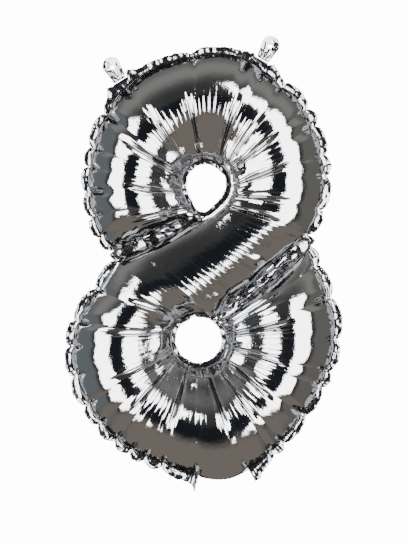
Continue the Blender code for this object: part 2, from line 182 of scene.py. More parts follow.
# The front: a ceiling that is dim above the camera, a floor, and the dark between them.
ceiling = blend_colours(ramp_between(along_y, -0.90, -0.05), LOW_CEILING, CEILING)
ceiling = blend_colours(ramp_between(along_y, 0.15, 0.70), ceiling, CEILING_BEHIND)
below = blend_colours(ramp_between(up, -0.70, -0.22), FLOOR, FRONT_DARK)
front = blend_colours(ramp_between(up, 0.10, 0.32), below, ceiling)
# The sides and the back, from about 30 degrees below level to 25 degrees above it.
back = blend_colours(ramp_between(across, -0.3, 0.3), BACK_LEFT, BACK_RIGHT)
flank = blend_colours(ramp_between(along_y, -0.45, -0.10), BOX_FRAME, back)
level = combine("MULTIPLY", ramp_between(up, -0.62, -0.45), ramp_between(up, 0.52, 0.36))
around = combine("MULTIPLY", ramp_between(side, 0.45, 0.80), level)
plain_room = blend_colours(around, front, flank)
# A white screen behind, on the left.
screen = combine("MULTIPLY", ramp_between(along_y, 0.60, 0.72), ramp_between(up, -0.40, -0.15))
screen = combine("MULTIPLY", screen, ramp_between(across, -0.02, -0.14))
plain_room = blend_colours(screen, plain_room, SOFTBOX)
# Two softboxes in front. The inner edge of each leans, and each has its own top.
left_lean = ramp_between(up, 0.05, 0.40, 0.0, 0.12)
left_edge = ramp_between(combine("ADD", across, left_lean), -0.27, -0.31)
left_box = combine("MULTIPLY", left_edge, ramp_between(up, 0.42, 0.36))
right_lean = ramp_between(up, 0.02, 0.62, 0.0, 0.20)
right_edge = ramp_between(combine("ADD", across, right_lean), 0.27, 0.31)
right_box = combine("MULTIPLY", right_edge, ramp_between(up, 0.66, 0.56))
boxes = combine("MAXIMUM", left_box, right_box)
boxes = combine("MULTIPLY", boxes, ramp_between(up, -0.52, -0.42))
boxes = combine("MULTIPLY", boxes, ramp_between(along_y, -0.46, -0.53))
seen_in_foil = blend_colours(boxes, plain_room, SOFTBOX)
print("room has", len(room.nodes), "nodes so far")

# %% Light the foil with the room
# Light that has met the foil more than once is dimmed here. Real foil doesn't do this: it is a
# lighting choice, because creases full of repeated reflections would turn white all over.
light_path = room_node("ShaderNodeLightPath")
foil_light = room_node("ShaderNodeBackground")
room.links.new(seen_in_foil, foil_light.inputs["Color"])
room.links.new(ramp_between(light_path.outputs["Ray Depth"], 2.0, 3.0, 1.0, SECOND_LOOK),
               foil_light.inputs["Strength"])
backdrop = room_node("ShaderNodeBackground")
backdrop.inputs["Color"].default_value = BACKDROP
backdrop.inputs["Strength"].default_value = BACKDROP_STRENGTH
pick = room_node("ShaderNodeMixShader")
room.links.new(light_path.outputs["Is Camera Ray"], pick.inputs[0])
room.links.new(foil_light.outputs[0], pick.inputs[1])
room.links.new(backdrop.outputs[0], pick.inputs[2])
room.links.new(pick.outputs[0], room_node("ShaderNodeOutputWorld").inputs["Surface"])
print("room has", len(room.nodes), "nodes")

# %% [markdown]
# ## Floor and top light
# A pale floor lies well below the hanging balloon. It is kept out of the foil's reflections,
# where the room already has its own floor, and so is the soft light that brightens it.

# %% Floor
FLOOR_DROP = 0.26
FLOOR_RADIUS = 1.3
FLOOR_COLOUR = (0.86, 0.86, 0.85, 1)
LIGHT_PLACE, LIGHT_SIZE, LIGHT_POWER = (0.0, -0.2, 1.3), 1.6, 60.0

bpy.ops.object.select_all(action="DESELECT")
bpy.ops.mesh.primitive_circle_add(vertices=96, radius=FLOOR_RADIUS, fill_type="NGON",
                                  location=(0.0, 0.0, cad_box[0][2] - FLOOR_DROP))
floor = bpy.context.object
floor.name = "pale_floor"
floor.visible_glossy = False
paint = bpy.data.materials.new("pale_floor_paint")
paint.use_nodes = True
paint_shader = paint.node_tree.nodes["Principled BSDF"]
paint_shader.inputs["Base Color"].default_value = FLOOR_COLOUR
paint_shader.inputs["Roughness"].default_value = 0.9
floor.data.materials.append(paint)

bpy.ops.object.light_add(type="AREA", location=LIGHT_PLACE)
top_light = bpy.context.object
top_light.name = "top_light"
top_light.data.size = LIGHT_SIZE
top_light.data.energy = LIGHT_POWER
top_light.visible_glossy = False
top_light.visible_camera = False
print("floor", round(FLOOR_DROP * 1000), "mm below the balloon")

# %% [markdown]
# ## The weld lines
# Everything on a foil balloon follows its weld lines: the outline of the 8, the rings round
# its two eyes, and the two short welds at the waist that turn the inside into one long
# tube. These helpers draw the lines in the plane of the welds, in millimetres from the
# centre of the waist. The waist's place and the eyes' sizes come from the frame's weld rings.

# %% Lines
WELD_GAP = 0.4


def weld_radius(node):
    """Radius of an eye's weld line, from the box of the ring inside it."""
    low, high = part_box(node)
    return (high[0] - low[0]) / 2 / MM + WELD_GAP


UPPER_EYE_RADIUS = weld_radius("upper_eye_weld")
LOWER_EYE_RADIUS = weld_radius("lower_eye_weld")
# An eye is its centre, radius, the angle of its drop's tip, and how far the tip reaches out.
UPPER_TIP, LOWER_TIP = 261.0, 45.0
UPPER_EYE = (UPPER_EYE_CENTRE, UPPER_EYE_RADIUS, UPPER_TIP, 6.5)
LOWER_EYE = (LOWER_EYE_CENTRE, LOWER_EYE_RADIUS, LOWER_TIP, 0.0)
EYE_TIP_SPREAD = 26.0
WAIST_WELD_WIDTH = 6.0
UPPER_LOOP_WIDTH, UPPER_LOOP_RISE = 195.0, 160.0
LOWER_LOOP_WIDTH, LOWER_LOOP_DROP = 218.0, 193.0

UPPER_OUTLINE = [
    (-0.76, -0.01), (-0.88, 0.05), (-0.96, 0.17), (-1.0, 0.31), (-0.98, 0.45),
    (-0.92, 0.58), (-0.83, 0.70), (-0.71, 0.81), (-0.48, 0.91), (-0.14, 0.985),
    (0.12, 1.0), (0.35, 0.97), (0.53, 0.89), (0.72, 0.80), (0.85, 0.70),
    (0.95, 0.56), (1.0, 0.43), (1.0, 0.30), (0.95, 0.17), (0.85, 0.065),
]
LOWER_OUTLINE = [
    (-0.62, -0.06), (-0.75, -0.17), (-0.88, -0.27), (-0.95, -0.37), (-0.96, -0.48),
    (-0.90, -0.61), (-0.76, -0.75), (-0.52, -0.87), (-0.24, -0.94), (-0.03, -0.98),
    (0.17, -1.0), (0.37, -0.96), (0.59, -0.86), (0.79, -0.72), (0.95, -0.56),
    (1.03, -0.42), (1.02, -0.29), (0.94, -0.15), (0.83, 0.0),
]


def travelled(line):
    """Distance along a line at each of its points."""
    steps = np.linalg.norm(np.diff(line, axis=0), axis=1)
    return np.concatenate([[0.0], np.cumsum(steps)])


def along(line, shares):
    """Points at the given shares of a line's length."""
    distance = travelled(line)
    wanted = np.asarray(shares) * distance[-1]
    return np.column_stack([np.interp(wanted, distance, line[:, k])
                            for k in range(line.shape[1])])


def curve_through(points, count):
    """A smooth line through the points, returned as count points at an equal spacing."""
    knots = np.array(points, dtype=float)
    padded = np.vstack([2 * knots[0] - knots[1], knots, 2 * knots[-1] - knots[-2]])
    dense = []
    for before, start, end, after in zip(padded, padded[1:], padded[2:], padded[3:]):
        for t in np.linspace(0, 1, 24, endpoint=False):
            pull = (t**3 - 2 * t**2 + t) * (end - before) / 2
            pull = pull + (t**3 - t**2) * (after - start) / 2
            dense.append(start + (3 * t**2 - 2 * t**3) * (end - start) + pull)
    dense.append(knots[-1])
    return along(np.array(dense), np.linspace(0, 1, count))


def upper_outline(count=2400):
    scale = np.array([UPPER_LOOP_WIDTH / 2, UPPER_LOOP_RISE])
    return curve_through(np.array(UPPER_OUTLINE) * scale + [UPPER_EYE[0][0], 0], count)


def lower_outline(count=2400):
    scale = np.array([LOWER_LOOP_WIDTH / 2, LOWER_LOOP_DROP])
    return curve_through(np.array(LOWER_OUTLINE) * scale + [LOWER_EYE[0][0], 0], count)


def eye_line(eye, angles, inset=0.0):
    """Points on an eye's weld line at angles in degrees, moved in by inset."""
    centre, radius, tip_angle, tip_reach = eye
    angles = np.asarray(angles, dtype=float)
    off_tip = (angles - tip_angle + 180) % 360 - 180
    reach = radius - inset + tip_reach * np.exp(-((off_tip / EYE_TIP_SPREAD) ** 2))
    turn = np.radians(angles)
    return np.column_stack([np.cos(turn), np.sin(turn)]) * reach[:, None] + centre


def facing_angles(eye, line):
    """Angle from an eye's centre to each point of a line, without jumps, in degrees."""
    away = line - eye[0]
    return np.degrees(np.unwrap(np.arctan2(away[:, 1], away[:, 0])))


print("eyes", round(UPPER_EYE_RADIUS, 1), "and", round(LOWER_EYE_RADIUS, 1), "mm in radius")

# %% [markdown]
# ## Sections across the chamber
# The chamber is measured in sections, like the rungs of a ladder: each goes straight across
# the tube from one weld line to the other. Close together they describe the whole S, from
# the closed end at the left of the waist to the closed end at the right.

# %% Sections
UPPER_RUNGS, DIAGONAL_RUNGS, LOWER_RUNGS = 730, 260, 810
TUBE_DEPTHS = (57.0, 54.0, 61.0)
CLOSED_END_ROUNDING = 34.0
RUNG_CROWDING = 1.12
DIAGONAL_TOP, DIAGONAL_FOOT = -60, 115    # angles on the eyes where the diagonal takes over


def eased_angles(eye, outer, first, last):
    """Angles on an eye that face the outer points, eased to first and last at the ends."""
    facing = facing_angles(eye, outer)
    share = np.linspace(0, 1, len(outer))
    start_shift = (first - facing[0] + 180) % 360 - 180
    end_shift = (last - facing[-1] + 180) % 360 - 180
    return facing + start_shift * (1 - share) ** 3 + end_shift * share**3


def chamber_rungs():
    """Left and right end of every section, and the share of the outline at its outer end."""
    upper_half = math.degrees(WAIST_WELD_WIDTH / 2 / (UPPER_EYE[1] + UPPER_EYE[3]))
    lower_half = math.degrees(WAIST_WELD_WIDTH / 2 / LOWER_EYE[1])
    top_outer = along(upper_outline(), np.linspace(0, 1, UPPER_RUNGS) ** RUNG_CROWDING)
    angles = eased_angles(UPPER_EYE, top_outer, UPPER_TIP - upper_half, DIAGONAL_TOP)
    top_inner = eye_line(UPPER_EYE, angles)
    low_outer = along(lower_outline(), 1 - np.linspace(1, 0, LOWER_RUNGS) ** RUNG_CROWDING)
    angles = eased_angles(LOWER_EYE, low_outer, DIAGONAL_FOOT, LOWER_TIP - lower_half)
    low_inner = eye_line(LOWER_EYE, angles)
    under = eye_line(UPPER_EYE, np.linspace(DIAGONAL_TOP, UPPER_TIP - 360 + upper_half, 60))
    under = np.vstack([under, low_outer[:1]])
    over = eye_line(LOWER_EYE, np.linspace(LOWER_TIP + lower_half, DIAGONAL_FOOT, 60))
    over = np.vstack([top_outer[-1:], over])
    middle = np.linspace(0, 1, DIAGONAL_RUNGS + 2)[1:-1]
    left = np.vstack([top_outer, along(over, middle), low_inner])
    right = np.vstack([top_inner, along(under, middle), low_outer])
    return left, right


def along_chamber(upper, diagonal, lower):
    """One value for each section, changing steadily from one tube to the next."""
    ends = np.cumsum([0, UPPER_RUNGS, DIAGONAL_RUNGS, LOWER_RUNGS])
    knots = [0, 0.72 * ends[1], (ends[1] + ends[2]) / 2, ends[2] + 0.28 * LOWER_RUNGS, ends[3]]
    return np.interp(np.arange(ends[3]), knots, [upper, upper, diagonal, lower, lower])


left_ends, right_ends = chamber_rungs()
section_widths = np.linalg.norm(right_ends - left_ends, axis=1)[:, None]
mid_run = travelled((left_ends + right_ends) / 2)
from_end = np.minimum(mid_run, mid_run[-1] - mid_run)
end_share = np.sqrt(1 - (1 - np.clip(from_end / CLOSED_END_ROUNDING, 0, 1)) ** 2)
tube_depths = along_chamber(*TUBE_DEPTHS) / 2 * end_share
print(len(left_ends), "sections along", round(mid_run[-1]), "mm of tube")

# %% [markdown]
# ## How foil wrinkles
# Film can't stretch. Bent round an eye, a flat sheet has more length than the tube needs, and
# the spare length goes into pleats: many fine ridges from the eye to the crest, a few deep
# folds, and puckers at the outer weld, where the hem is pinched every few centimetres. The
# helpers make smooth noise and creases from seeded numbers, so each run gives the same foil.

# %% Wrinkle helpers
CREASE_SHARPNESS = 3.2


def smooth_step(low, high, value):
    """0 below low, 1 above high, and a soft change between them."""
    share = np.clip((value - low) / (high - low), 0, 1)
    return share * share * (3 - 2 * share)


def drifting(places, spacing, seed):
    """Smooth noise from -1 to 1 along a line, with about one swing for each spacing."""
    rng = np.random.default_rng(seed)
    count = int((places.max() - places.min()) / spacing) + 4
    values = rng.uniform(-1, 1, count)
    where = (places - places.min()) / spacing
    index = np.floor(where).astype(int)
    share = where - index
    share = share * share * (3 - 2 * share)
    return values[index] * (1 - share) + values[index + 1] * share


def drifting_over(first, second, spacing_1, spacing_2, seed):
    """Smooth noise from -1 to 1 over two coordinates."""
    rng = np.random.default_rng(seed)
    a = (first - first.min()) / spacing_1
    b = (second - second.min()) / spacing_2
    values = rng.uniform(-1, 1, (int(a.max()) + 3, int(b.max()) + 3))
    i, j = np.floor(a).astype(int), np.floor(b).astype(int)
    s, t = a - i, b - j
    s, t = s * s * (3 - 2 * s), t * t * (3 - 2 * t)
    low = values[i, j] * (1 - s) + values[i + 1, j] * s
    high = values[i, j + 1] * (1 - s) + values[i + 1, j + 1] * s
    return low * (1 - t) + high * t


def creased(values):
    """Noise pressed into flat facets with a steep step between them."""
    return np.tanh(CREASE_SHARPNESS * values) / np.tanh(CREASE_SHARPNESS)


def pleat(phase):
    """A zigzag wave from -1 to 1 with slightly rounded tops."""
    return np.arcsin(0.97 * np.sin(phase)) / 1.33


def crease_line(phase, width=0.42):
    """A narrow raised crease from 0 to 1, once in each turn, with flat film between."""
    return np.exp(-((np.sin(phase / 2) / width) ** 2))


print("creases step over about", round(1 / CREASE_SHARPNESS, 2), "of a swing")


# %% [markdown]
# ## Where the foil is pinched and folded
# The hem draws the foil in at a series of pinches round the outline, listed as shares of each
# loop's outline. The deep folds run out from each eye, listed as angles round it, each with
# how far it drifts sideways and how deep it is.

# %% Pinches and folds
UPPER_PINCHES = [0.0, 0.039, 0.079, 0.128, 0.176, 0.214, 0.282, 0.343, 0.489, 0.598,
                 0.634, 0.681, 0.746, 0.782, 0.84, 0.879, 0.944, 1.0]
LOWER_PINCHES = [0.0, 0.058, 0.12, 0.162, 0.212, 0.263, 0.30, 0.338, 0.368, 0.394, 0.425,
                 0.481, 0.575, 0.624, 0.647, 0.704, 0.758, 0.786, 0.84, 0.909, 0.965, 1.0]
LONG_UPPER_PINCHES = {0.128: 2.2, 0.282: 1.6, 0.598: 1.2, 0.782: 1.0}
LONG_LOWER_PINCHES = {0.12: 1.4, 0.481: 0.9, 0.704: 1.3, 0.909: 1.5}
UPPER_FOLDS = [(205, 5, 1.5), (181, 2, 2.2), (150, -4, 2.4), (128, 3, 0.9), (102, 2, 2.0),
               (69, -3, 2.2), (52, 2, 1.1), (38, 4, 2.2), (15, -3, 2.2),
               (-8, 4, 1.7), (-24, 0, 1.2), (-36, -3, 2.4)]
LOWER_FOLDS = [(150, 3, 2.0), (176, -3, 1.6), (206, -3, 1.2), (226, 3, 2.3),
               (252, 0, 2.2), (288, 3, 2.4), (308, -3, 1.5), (322, -5, 2.3),
               (345, -2, 1.6), (372, 2, 2.2), (392, 3, 1.6)]


def pinch_cusps(run, shares, width):
    """How tightly the hem is gathered along an outline: 1 at a pinch, 0 between them."""
    gathered = np.zeros_like(run)
    for share in shares:
        gathered = np.maximum(gathered, np.exp(-np.abs(run - share * run[-1]) / width))
    return gathered


# Distance along the outline at the outer end of each section.
upper_run = travelled(left_ends[:UPPER_RUNGS])
lower_run = travelled(right_ends[-LOWER_RUNGS:])
print(len(UPPER_PINCHES) + len(LOWER_PINCHES), "pinches,",
      len(UPPER_FOLDS) + len(LOWER_FOLDS), "deep folds")

# %% [markdown]
# ## One inflated panel
# The film starts as a flat grid, added as a primitive. Its long side is laid along the
# chamber and its short side across it, and then it is blown up: each section becomes a
# smooth arch, upright at the outer weld and sloping at the eye. Beside the upper eye and
# along the top of the diagonal the film stands almost straight up from its weld, like the
# wall of a well. Pinches pull the outer edge in, and pleats and folds are added square to
# the surface.

# %% Panel shape
STEPS_ACROSS = 26
ROUND_EDGE, EYE_EDGE = 0.55, 0.75
SEAM_PULL, SEAM_PULL_LENGTH = 2.0, 4.5
WALL_RISE, WALL_WIDTH = 9.0, 6.5
SADDLE, SADDLE_PLACE, SADDLE_WIDTH = 0.17, 0.20, 0.14
SEAM_SLOPE = 1.9
SEAM_FADE = 60        # sections over which the seam's slope limit fades at a notch
NOTCH_FADE = 14.0     # mm from a notch in which the pinches fade
WELD_LIFT = 0.3


def arch(across, left_edge, right_edge):
    """Height of a section, 0 at its ends and 1 at its crest; a larger edge is less steep."""
    crest = left_edge / (left_edge + right_edge)
    peak = crest**left_edge * (1 - crest) ** right_edge
    return across**left_edge * (1 - across) ** right_edge / peak


def edge_pull():
    """How far the left and right ends of each section are drawn in by the pinches, in mm."""
    total = len(left_ends)
    left_pull, right_pull = np.zeros(total), np.zeros(total)
    left_pull[:UPPER_RUNGS] = pinch_cusps(upper_run, UPPER_PINCHES, SEAM_PULL_LENGTH)
    right_pull[-LOWER_RUNGS:] = pinch_cusps(lower_run, LOWER_PINCHES, SEAM_PULL_LENGTH)
    left_pull[:UPPER_RUNGS] *= smooth_step(0.0, NOTCH_FADE, upper_run[-1] - upper_run)
    right_pull[-LOWER_RUNGS:] *= smooth_step(0.0, NOTCH_FADE, lower_run)
    return SEAM_PULL * left_pull, SEAM_PULL * right_pull


def wall_share():
    """How much of a section's right end is a steep wall: beside the upper eye and above
    the diagonal."""
    rung = np.arange(len(left_ends))
    starts = smooth_step(0.62 * UPPER_RUNGS, 0.76 * UPPER_RUNGS, rung)
    lower = 1 - 0.45 * smooth_step(UPPER_RUNGS, UPPER_RUNGS + 0.3 * DIAGONAL_RUNGS, rung)
    stops = smooth_step(UPPER_RUNGS + 0.75 * DIAGONAL_RUNGS, UPPER_RUNGS + DIAGONAL_RUNGS, rung)
    return starts * lower * (1 - stops)


def seam_side(right=False):
    """1 where a section's left (or right) end is on the outer seam, 0 where it isn't."""
    rung = np.arange(len(left_ends))
    if right:
        first = len(left_ends) - LOWER_RUNGS
        return smooth_step(first, first + SEAM_FADE, rung)
    return 1 - smooth_step(UPPER_RUNGS - SEAM_FADE, UPPER_RUNGS, rung)


def under_seam_slope(height, distance, share):
    """Keep the film beside the outer seam from standing steeper than the seam's slope."""
    line = SEAM_SLOPE * distance + 0.2
    limited = (np.maximum(height, 0.05) ** -5 + np.maximum(line, 0.05) ** -5) ** -0.2
    return height * (1 - share) + limited * share


def with_depth(flat, depth):
    """Points in space, from points in the plane of the welds and their depth behind it."""
    return np.stack([flat[..., 0], depth, flat[..., 1]], axis=-1)


def inflated_grid(side):
    """Points of a panel, with u across from the left weld to the right one."""
    u = (1 - np.cos(np.linspace(0, math.pi, STEPS_ACROSS + 1))) / 2
    unit = (right_ends - left_ends) / section_widths
    left_pull, right_pull = edge_pull()
    start = left_ends + unit * left_pull[:, None]
    end = right_ends - unit * right_pull[:, None]
    flat = start[:, None, :] + (end - start)[:, None, :] * u[None, :, None]
    left_edge = along_chamber(ROUND_EDGE, ROUND_EDGE, EYE_EDGE)[:, None]
    right_edge = along_chamber(EYE_EDGE, ROUND_EDGE, ROUND_EDGE)[:, None]
    height = tube_depths[:, None] * arch(u[None, :], left_edge, right_edge)
    from_left, from_right = u[None, :] * section_widths, (1 - u)[None, :] * section_widths
    height = under_seam_slope(height, from_left, seam_side()[:, None])
    height = under_seam_slope(height, from_right, seam_side(right=True)[:, None])
    lower_side = lower_side_share()
    v = (1 - u)[None, :] * (1 - lower_side) + u[None, :] * lower_side
    saddle = SADDLE * along_chamber(1.0, 0.15, 1.0)[:, None]
    height = height * (1 - saddle * np.exp(-(((v - SADDLE_PLACE) / SADDLE_WIDTH) ** 2)))
    from_weld = from_right / WALL_WIDTH
    wall = WALL_RISE * from_weld * np.exp(1 - from_weld)
    height = WELD_LIFT + height + wall * wall_share()[:, None]
    return with_depth(flat, side * height), u


def surface_normals(points, side):
    """Unit normals of a grid, pointing out of the balloon."""
    run_1 = np.gradient(points, axis=0)
    run_2 = np.gradient(points, axis=1)
    normals = np.cross(run_1, run_2)
    length = np.linalg.norm(normals, axis=-1, keepdims=True)
    normals = normals / np.maximum(length, 1e-9)
    facing = np.sign(np.sum(normals[..., 1]) * side)
    return normals * facing


print("panel grid", len(left_ends), "by", STEPS_ACROSS + 1, "points")

# %% [markdown]
# ## Fine ridges
# The fine ridges are strongest at the crest, where each ends at its own distance, which gives
# the toothed edge that reflections have on foil. A bump texture would be quicker, but it
# wouldn't change the outline or the mesh, so every wrinkle here is a height on the grid.

# %% Ridge heights
RIDGE_SPACING = 4.8
RIDGE_HEIGHT = 0.34
RIDGE_END = 0.60
QUIET_RIDGES = 0.22
FOOT_ANGLE, FOOT_HALF, FOOT_RIDGES = 270.0, 17.0, 0.30
DIAGONAL_RIDGES = 0.55


def from_eye(u):
    """Share of the way from the eye side to the outer side, for the upper and lower loop."""
    return 1 - u, u


def lower_side_share():
    """0 where the eye is at a section's right end, 1 where it is at its left end."""
    rung = np.arange(len(left_ends))
    return smooth_step(UPPER_RUNGS - 80, UPPER_RUNGS + 40, rung)[:, None]


def ridge_reach(v, run, seed):
    """Where fine ridges are on a section: full at the crest, quieter nearer the eye."""
    reach = RIDGE_END + 0.055 * drifting(run, 2.2, seed)[:, None]
    reach = reach + 0.05 * drifting(run, 17.0, seed + 1)[:, None]
    quiet = QUIET_RIDGES + (1 - QUIET_RIDGES) * smooth_step(0.26, 0.44, v)
    return smooth_step(0.14, 0.26, v) * quiet * (1 - smooth_step(reach - 0.10, reach, v))


def ridge_strength():
    """How strong the fine ridges are: lower on the diagonal and at the foot of the 8."""
    strength = along_chamber(1.0, DIAGONAL_RIDGES, 1.0)
    facing = facing_angles(LOWER_EYE, right_ends[-LOWER_RUNGS:])
    off_foot = np.abs((facing - FOOT_ANGLE + 180) % 360 - 180)
    beside = smooth_step(FOOT_HALF - 3, FOOT_HALF + 3, off_foot)
    strength[-LOWER_RUNGS:] *= FOOT_RIDGES + (1 - FOOT_RIDGES) * beside
    return strength


def fine_ridges(u, seed):
    """Heights of the narrow ridges that run from the eyes to the crest."""
    run = mid_run
    lower_side = lower_side_share()
    v_upper, v_lower = from_eye(u[None, :])
    where = (1 - lower_side) * ridge_reach(v_upper, run, seed + 3)
    where = where + lower_side * ridge_reach(v_lower, run, seed + 5)
    grid_run, grid_u = np.meshgrid(run, u, indexing="ij")
    wander = 2.2 * drifting(run, 13.0, seed + 7)[:, None]
    wander = wander + 0.8 * drifting_over(grid_run, grid_u, 9.0, 0.25, seed + 8)
    strength = 0.70 + 0.42 * drifting(run, 14.0, seed + 9)[:, None]
    strength = strength * ridge_strength()[:, None]
    wave = crease_line(2 * math.pi * run[:, None] / RIDGE_SPACING + wander)
    return RIDGE_HEIGHT * where * strength * wave


print("ridges every", RIDGE_SPACING, "mm,", RIDGE_HEIGHT, "mm high")

# %% [markdown]
# ## Crinkle at the eyes
# Beside an eye's weld the ridges run together into broken facets. Smooth noise makes broad
# terraces, and creased noise on top makes the small slivers that catch the light.

# %% Crinkle heights
CRINKLE_HEIGHT = 1.45
CRINKLE_REACH, CRINKLE_DRIFT = 17.0, 4.0
TERRACE_LENGTH, TERRACE_STEP = 17.0, 4.8
SLIVER_SIZE, SLIVER_SHARE = 8.0, 0.25


def eye_crinkle(u, seed):
    """Broken facets beside the eye welds, where the ridges run together."""
    lower_side = lower_side_share()
    v_upper, v_lower = from_eye(u[None, :])
    grid_run = np.repeat(mid_run[:, None], len(u), axis=1)
    heights = np.zeros_like(grid_run)
    for share, v, number in ((1 - lower_side, v_upper, seed), (lower_side, v_lower, seed + 9)):
        distance = v * section_widths
        edge = CRINKLE_REACH + CRINKLE_DRIFT * drifting(mid_run, 6.0, number)[:, None]
        near = smooth_step(0.3, 2.5, distance) * (1 - smooth_step(edge - 5.0, edge, distance))
        terraces = drifting_over(grid_run, distance, TERRACE_LENGTH, TERRACE_STEP, number + 1)
        slivers = drifting_over(grid_run, distance, SLIVER_SIZE, SLIVER_SIZE, number + 2)
        heights += share * near * CRINKLE_HEIGHT * (terraces + SLIVER_SHARE * creased(slivers))
    return heights


print("crinkle reaches about", CRINKLE_REACH, "mm from an eye")

# %% [markdown]
# ## Deep folds
# A few folds run far out from each eye. Each is a groove with raised shoulders and finer
# creases beside it, and it bends a little on its way, because film never folds dead straight.

# %% Fold heights
GROOVE_DEPTH, CREASE_BESIDE, CREASE_SPACING = 0.62, 0.26, 2.6
SHOULDER_PLACE, SHOULDER_SHARE = 1.9, 0.5


def fold_set(folds, eye, outer, rungs, u, v, seed):
    """Heights of the deep folds round one eye, over that loop's own sections."""
    facing = facing_angles(eye, outer)
    run = mid_run[rungs]
    heights = np.zeros((len(run), len(u)))
    rng = np.random.default_rng(seed)
    for angle, drift, depth in folds:
        gap = np.abs((facing - angle + 180) % 360 - 180)
        centre = run[int(np.argmin(gap))]
        bend = drift * (v - 0.3) + 1.6 * rng.uniform(-1, 1) * np.sin(v * 5.0)
        off = run[:, None] - centre - bend[None, :]
        width = (1.1 + 0.9 * np.abs(np.sin(v * 7.0 + rng.uniform(0, 3))))[None, :]
        reach = rng.uniform(0.60, 0.74)
        fade = smooth_step(0.0, 0.06, v) * (1 - smooth_step(reach - 0.16, reach, v))
        groove = -np.exp(-((off / width) ** 2))
        for shoulder in (-SHOULDER_PLACE, SHOULDER_PLACE):
            groove = groove + SHOULDER_SHARE * np.exp(-((off / width - shoulder) ** 2))
        beside = pleat(2 * math.pi * off / CREASE_SPACING) * np.exp(-((off / 4.2) ** 2))
        heights += fade[None, :] * (GROOVE_DEPTH * depth * groove + CREASE_BESIDE * beside)
    return heights


def deep_folds(u, seed):
    """Heights of the folds round both eyes."""
    heights = np.zeros((len(mid_run), len(u)))
    v_upper, v_lower = from_eye(u)
    upper = slice(0, UPPER_RUNGS)
    lower = slice(len(mid_run) - LOWER_RUNGS, len(mid_run))
    heights[upper] += fold_set(UPPER_FOLDS, UPPER_EYE, left_ends[upper], upper, u, v_upper, seed)
    heights[lower] += fold_set(LOWER_FOLDS, LOWER_EYE, right_ends[lower], lower, u, v_lower, seed + 1)
    return heights


print("deepest fold", GROOVE_DEPTH * max(depth for _, _, depth in UPPER_FOLDS + LOWER_FOLDS), "mm")

# %% [markdown]
# ## Puckers, gathers and dents
# The outer weld is pinched every few centimetres, and a pucker runs in from each pinch. The
# closed ends are gathered square to their waist welds, and the whole film has broad, shallow
# dents that bend the long reflections, without which it would look like a turned metal tube.

# %% Pucker, gather and dent heights
PUCKER_WIDTH, PUCKER_SPREAD = 2.8, 12.0
LOOP_END_CALM = 9.0
GATHER_HEIGHT, GATHER_REACH, GATHER_SPACING = 0.9, 8.0, 8.5
BROAD_DENT, SMALL_DENT = 0.50, 0.14


def pucker_set(run, shares, long_ones, v, seed):
    """Short creases that start at the pinches of one outline, and a few long ones."""
    rng = np.random.default_rng(seed)
    heights = np.zeros((len(run), len(v)))
    for share in shares:
        long_depth = long_ones.get(share, 0.0)
        drift = rng.uniform(-5, 5) * (2.0 if long_depth else 1.0)
        depth = rng.uniform(0.4, 0.9) + long_depth
        reach = rng.uniform(0.80, 0.88) - (0.16 if long_depth else 0.0)
        off = run[:, None] - share * run[-1] - drift * (1 - v)[None, :]
        width = (PUCKER_WIDTH + PUCKER_SPREAD * (1 - v))[None, :]
        fade = smooth_step(reach, 0.96, v) * (1 - 0.8 * smooth_step(0.95, 1.0, v))
        groove = -np.exp(-((off / width) ** 2))
        groove = groove + 0.35 * np.exp(-((np.abs(off) / width - 1.7) ** 2))
        heights += depth * fade[None, :] * groove
    inside = smooth_step(0.0, LOOP_END_CALM, run) * smooth_step(0.0, LOOP_END_CALM, run[-1] - run)
    return heights * inside[:, None]


def outer_puckers(u, seed):
    """Heights of the puckers along both loops' outer welds."""
    heights = np.zeros((len(mid_run), len(u)))
    v_upper, v_lower = from_eye(u)
    heights[:UPPER_RUNGS] += pucker_set(upper_run, UPPER_PINCHES, LONG_UPPER_PINCHES, v_upper, seed)
    heights[-LOWER_RUNGS:] += pucker_set(lower_run, LOWER_PINCHES, LONG_LOWER_PINCHES, v_lower,
                                         seed + 1)
    return heights


def end_gathers(columns, seed):
    """Pleats square to the two closed ends and along the waist welds."""
    u = np.linspace(0, 1, columns)[None, :]
    near = np.exp(-from_end / GATHER_REACH)[:, None]
    wander = 2.0 * drifting(mid_run, 12.0, seed)[:, None]
    wave = pleat(2 * math.pi * (u * section_widths) / GATHER_SPACING + wander)
    return GATHER_HEIGHT * near * wave * np.sin(math.pi * u)


def soft_dents(u, seed):
    """Broad, shallow dents that bend the long reflections."""
    grid_run, grid_u = np.meshgrid(mid_run, u, indexing="ij")
    broad = drifting_over(grid_run, grid_u, 44.0, 0.45, seed)
    small = drifting_over(grid_run, grid_u, 17.0, 0.3, seed + 1)
    return BROAD_DENT * broad + SMALL_DENT * small


print("puckers", PUCKER_WIDTH, "mm wide at the weld, gathers every", GATHER_SPACING, "mm")

# %% [markdown]
# ## Build the two panels
# All the heights are added square to the blown-up grid, and a Solidify modifier gives the
# film its thickness. Cloth with pressure could blow the film up too, but cloth stretches
# into soft swells, and these sharp ridges come from film that can't stretch. The balloon is soft and blown tight.

# %% Build the panels
FULL_WRINKLES_DEPTH = 12.0    # half depth of tube, in mm, from which wrinkles are at full height
LEAST_DEPTH = 0.15


